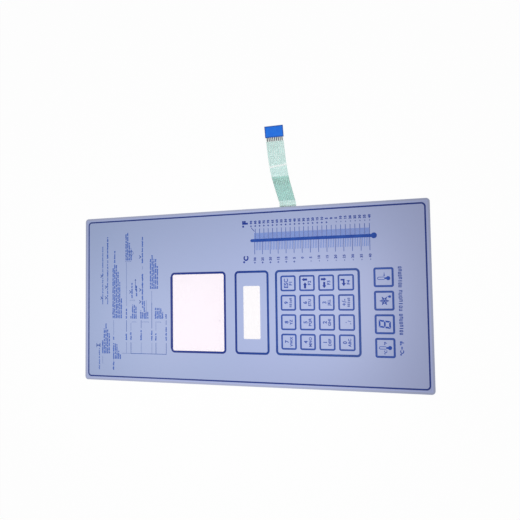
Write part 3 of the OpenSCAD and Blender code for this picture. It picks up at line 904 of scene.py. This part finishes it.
SEGMENT = 2.3
DIGIT_W = 10.2
DIGIT_H = 15.8
LEAN = 0.14
GAP = 0.4
POINT_GAP = 1.0
outer, inner = DIGIT_W / 2, DIGIT_W / 2 - SEGMENT
top, under_top = DIGIT_H / 2, DIGIT_H / 2 - SEGMENT
END_BAR = [(GAP - outer, top), (outer - GAP, top), (inner - GAP, under_top), (GAP - inner, under_top)]
SIDE_BAR = [(outer, top - GAP), (outer, GAP), (inner, SEGMENT / 2 + GAP), (inner, under_top - GAP)]
MIDDLE_BAR = [
    (POINT_GAP - outer, 0), (GAP - inner, SEGMENT / 2), (inner - GAP, SEGMENT / 2),
    (outer - POINT_GAP, 0), (inner - GAP, -SEGMENT / 2), (GAP - inner, -SEGMENT / 2),
]
BARS = [MIDDLE_BAR] + [[(u, v * up) for u, v in END_BAR] for up in (-1, 1)]
BARS += [[(u * way, v * up) for u, v in SIDE_BAR] for way in (-1, 1) for up in (-1, 1)]

x, y = key_centre("dome_special_2")
for bar in BARS:
    pictures.shape([(x + u + v * LEAN, y + v) for u, v in bar])

DROP_RIGHT = 5.4
DROP_DOWN = 7.4
DROP_R = 1.7
DROP_ARC = (150, 390)
DROP_STEPS = 16
DROP_TIP = 3.2
x, y = key_centre("dome_special_3")
x, y = x + DROP_RIGHT, y - DROP_DOWN
pictures.shape(arc(x, y, DROP_R, *DROP_ARC, DROP_STEPS) + [(x, y + DROP_TIP)])

TUBE_LEFT = 1.4
POINTER = [(0.9, -0.8), (3.2, -2.0), (3.2, -1.15), (6.3, -1.15), (6.3, -0.45), (3.2, -0.45), (3.2, 0.4)]
x, y = key_centre("dome_special_4")
thermometer(pictures, x - TUBE_LEFT, y)
pictures.shape(shifted(POINTER, x, y))
pictures.piece("key_pictures", ink("picture_ink", "#1240a0", "#1c4cb0"))

# Snow star on the third large key: six arms, each with two short branches, round a small
# hub, in the same blue as the legends.
STAR_OFF = 0.3
ARMS = 6
ARM = 6.0
ARM_LINE = 1.35
ARM_START = 0.75
BRANCH = 1.2
BRANCH_LINE = 1.08
BRANCH_AT = 2.4
BRANCH_TURN = 50
HUB_R = 0.8


def towards(degrees):
    return Vector((math.cos(math.radians(degrees)), math.sin(math.radians(degrees))))


x, y = key_centre("dome_special_3")
centre = Vector((x - STAR_OFF, y - STAR_OFF))
star = Stencil()
for k in range(ARMS):
    arm_turn = 90 + 360 / ARMS * k
    out = towards(arm_turn)
    star.stroke([centre + out * ARM_START, centre + out * ARM], ARM_LINE)
    for lean in (-BRANCH_TURN, BRANCH_TURN):
        sideways = towards(arm_turn + lean)
        root = centre + out * BRANCH_AT + sideways * ARM_START
        star.stroke([root, root + sideways * BRANCH], BRANCH_LINE)
star.shape(arc(x - STAR_OFF, y - STAR_OFF, HUB_R, 0, 360 - 360 / ARMS, ARMS - 1))
star.piece("snow_star", legend_ink)

# Guide chart: an instruction chart in very small type. Its rules are as on the panel, and
# rows of tiny blocks stand for the type, one block for each letter, so nothing can be read.
CHART_LINE = 3.0
LIGHT_TYPE = {"x_height": 1.4, "narrow": 0.6, "wide": 1.1, "gap": 0.3, "tall": 0.5, "deep": 0.4}
PLAIN_TYPE = {"x_height": 1.8, "narrow": 0.7, "wide": 1.2, "gap": 0.2, "tall": 0.4, "deep": 0.3}
BOLD_TYPE = {"x_height": 1.8, "narrow": 0.8, "wide": 1.4, "gap": 0.24, "tall": 0.6, "deep": 0.4}
WORD_GAP = 1.1
WORD_LETTERS = (3, 9)
TYPE_SEED = 11
# Drop of the first line, start of the lines and end of each line, in chart millimetres
LIGHT_WORDS = [
    (0, 0, [33]),
    (6, 102, [193]),
    (15, 102, [173]),
]
WORDS = [
    (6, 25, [45, 64, 72, 62, 57]),
    (26, 17, [42, 42, 40, 30, 25]),
    (25, 80, [159, 166, 164, 153, 138, 111]),
    (49, 79.5, [95.5]),
    (48.5, 170, [211, 213, 198, 189]),
    (57, 79.5, [84, 101.5, 101.5, 98]),
    (59, 111, [135.5]),
    (67, 114, [130]),
    (74.5, 79.5, [92, 91, 108, 92, 91]),
    (77.5, 96, [125]),
    (91.5, 125, [172, 177, 171, 170, 160]),
    (118, 79.5, [86.5]),
]
BOLD_WORDS = [
    (15, 174, [208]),
    (26, 0, [12.5]),
    (26, 46.5, [51.5]),
    (28, 167, [186.5]),
    (49, 46.5, [56.5]),
    (57, 46.5, [58]),
    (66, 123, [132]),
    (75, 46.5, [62]),
    (77.5, 126, [150]),
    (77.5, 165, [206.5]),
    (93.5, 46.5, [61.5]),
    (100, 79.5, [97, 96, 96, 96, 90]),
    (100.5, 46.5, [58]),
    (118, 46.5, [67]),
]

chart_low, chart_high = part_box("guide_chart_print")
chart_x = chart_low.x / MM
chart_y = chart_high.y / MM - PLAIN_TYPE["x_height"] / 2

draw = random.Random(TYPE_SEED)
places, sizes = [], []


def typeset(lines, cut):
    """Adds the blocks of some lines. One in three rises over the rest, and one in five drops."""
    for drop, start, ends in lines:
        for i, end in enumerate(ends):
            across = start
            left_in_word = draw.randint(*WORD_LETTERS)
            while across < end - cut["narrow"]:
                wide = draw.uniform(cut["narrow"], cut["wide"])
                up = draw.choice((0, 0, cut["tall"]))
                down = draw.choice((0, 0, 0, 0, cut["deep"]))
                level = chart_y - drop - i * CHART_LINE + (up - down) / 2
                places.append((chart_x + across + wide / 2, level, ink_middle / MM))
                sizes.append((wide, cut["x_height"] + up + down, ink_depth / MM))
                across += wide + cut["gap"]
                left_in_word -= 1
                if not left_in_word:
                    left_in_word = draw.randint(*WORD_LETTERS)
                    across += WORD_GAP


typeset(LIGHT_WORDS, LIGHT_TYPE)
typeset(WORDS, PLAIN_TYPE)
typeset(BOLD_WORDS, BOLD_TYPE)

type_points = bpy.data.meshes.new("type_points")
type_points.from_pydata(places, [], [])
block_size = type_points.attributes.new("size", "FLOAT_VECTOR", "POINT")
block_size.data.foreach_set("vector", [value for triple in sizes for value in triple])

setting = Pattern("tiny_type", Geometry="Geometry", Unit="Float", Ink="Material")
size = setting.node("GeometryNodeInputNamedAttribute", {"Name": "size"}, data_type="FLOAT_VECTOR")
block = setting.node("GeometryNodeMeshCube", {})
blocks = setting.node("GeometryNodeInstanceOnPoints", {
    "Points": setting.given["Geometry"], "Instance": block, "Scale": size})
setting.end(setting.node("GeometryNodeTransform", {"Geometry": blocks, "Scale": setting.given["Unit"]}))

type_ink = ink("type_ink", "#0848aa", "#185abc", patch=0.004)
tiny_type = setting.grow("chart_type", type_points, Unit=MM, Ink=type_ink)
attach(tiny_type, "root")

# The chart's rules, brackets and small signs: a tree from an upright trunk, with darker and
# finer branches, and simple marks where the panel has little pictures of its keys.
RULE = 0.8
THIN_RULE = 0.4
# Drop, start, end and width of each level rule
RULES = [
    (6, 9, 21, THIN_RULE),
    (26, 13, 17, THIN_RULE),
    (26, 54, 77, THIN_RULE),
    (49, 59, 77, RULE),
    (49, 99, 167, THIN_RULE),
    (57, 61, 73, THIN_RULE),
    (65, 131, 139, RULE),
    (75, 65, 77, RULE),
    (77.5, 155, 160, THIN_RULE),
    (84, 92, 108, THIN_RULE),
    (93.5, 64.5, 104, RULE),
    (93.5, 104, 122, THIN_RULE),
    (100.5, 61, 73, THIN_RULE),
    (118, 70, 77, RULE),
]
TRUNK = 26
TRUNK_TOP = 41
TRUNK_BOLD = 57
BRANCH_END = 43
BRANCHES = [(49, THIN_RULE), (57, RULE), (75, THIN_RULE), (93.5, THIN_RULE), (100.5, RULE), (118, RULE)]
# Place, top drop and bottom drop of each bracket, and the way that its ends point
BRACKETS = [
    (168, 47.5, 57, 1),
    (74.5, 59, 66, -1),
    (108, 55.5, 63.5, -1),
    (74.5, 77, 88, -1),
    (74.5, 100, 109, -1),
]
# Place and drop of each small sign over the type
SIGNS = [
    (111.8, 3.6),
    (146.5, 3.6),
    (112, 11.8),
    (129, 11.8),
    (105.3, 73.4),
    (123.7, 73.4),
    (174.7, 73.4),
    (120.8, 56),
]
SIGN_SHAPE = [(-2.2, 1.7), (0, -1.5), (2.2, 1.7)]
SIGN_LINE = 1.1
# Drop, width and height of the three bars of the sign at the chart's head
HEAD_SIGN = [(-4.9, 6.2, 1.1), (-2, 1.6, 4.8), (1, 5.6, 1.5)]
HEAD_SIGN_X = 37.6
TIP_X = 141
TIP_DROP = 65
TIP_SHAPE = [(-2.6, -1.5), (0, 0), (-2.6, 1.5)]
RING_X = 181
RING_DROP = 58
RING_R = 3.4
RING_LINE = 0.6
RING_SIDES = 24

chart = Stencil()
for drop, start, end, line in RULES:
    chart.bar(chart_x + (start + end) / 2, chart_y - drop, end - start, line)
branch_start = TRUNK + RULE / 2
for drop, line in BRANCHES:
    branch_x = chart_x + (branch_start + BRANCH_END) / 2
    chart.bar(branch_x, chart_y - drop, BRANCH_END - branch_start, line)
trunk_foot = BRANCHES[-1][0]
for upper, lower, line in ((TRUNK_TOP, TRUNK_BOLD, THIN_RULE), (TRUNK_BOLD, trunk_foot, RULE)):
    chart.bar(chart_x + TRUNK, chart_y - (upper + lower) / 2, line, lower - upper + RULE)
for across, upper, lower, way in BRACKETS:
    bracket = [(way, -upper), (0, -upper), (0, -lower), (way, -lower)]
    chart.stroke(shifted(bracket, chart_x + across, chart_y), THIN_RULE)
for across, drop in SIGNS:
    chart.stroke(shifted(SIGN_SHAPE, chart_x + across, chart_y - drop), SIGN_LINE)
for drop, w, h in HEAD_SIGN:
    chart.bar(chart_x + HEAD_SIGN_X, chart_y - drop, w, h)
chart.shape(shifted(TIP_SHAPE, chart_x + TIP_X, chart_y - TIP_DROP))
outside, inside = [
    arc(chart_x + RING_X, chart_y - RING_DROP, r, 0, 360 - 360 / RING_SIDES, RING_SIDES - 1)
    for r in (RING_R, RING_R - RING_LINE)]
chart.shape(outside, holes=[inside])
rules = chart.piece("chart_rules", ink("rule_ink", "#20479c", "#3159ac", patch=0.02))
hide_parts("guide_chart_print")
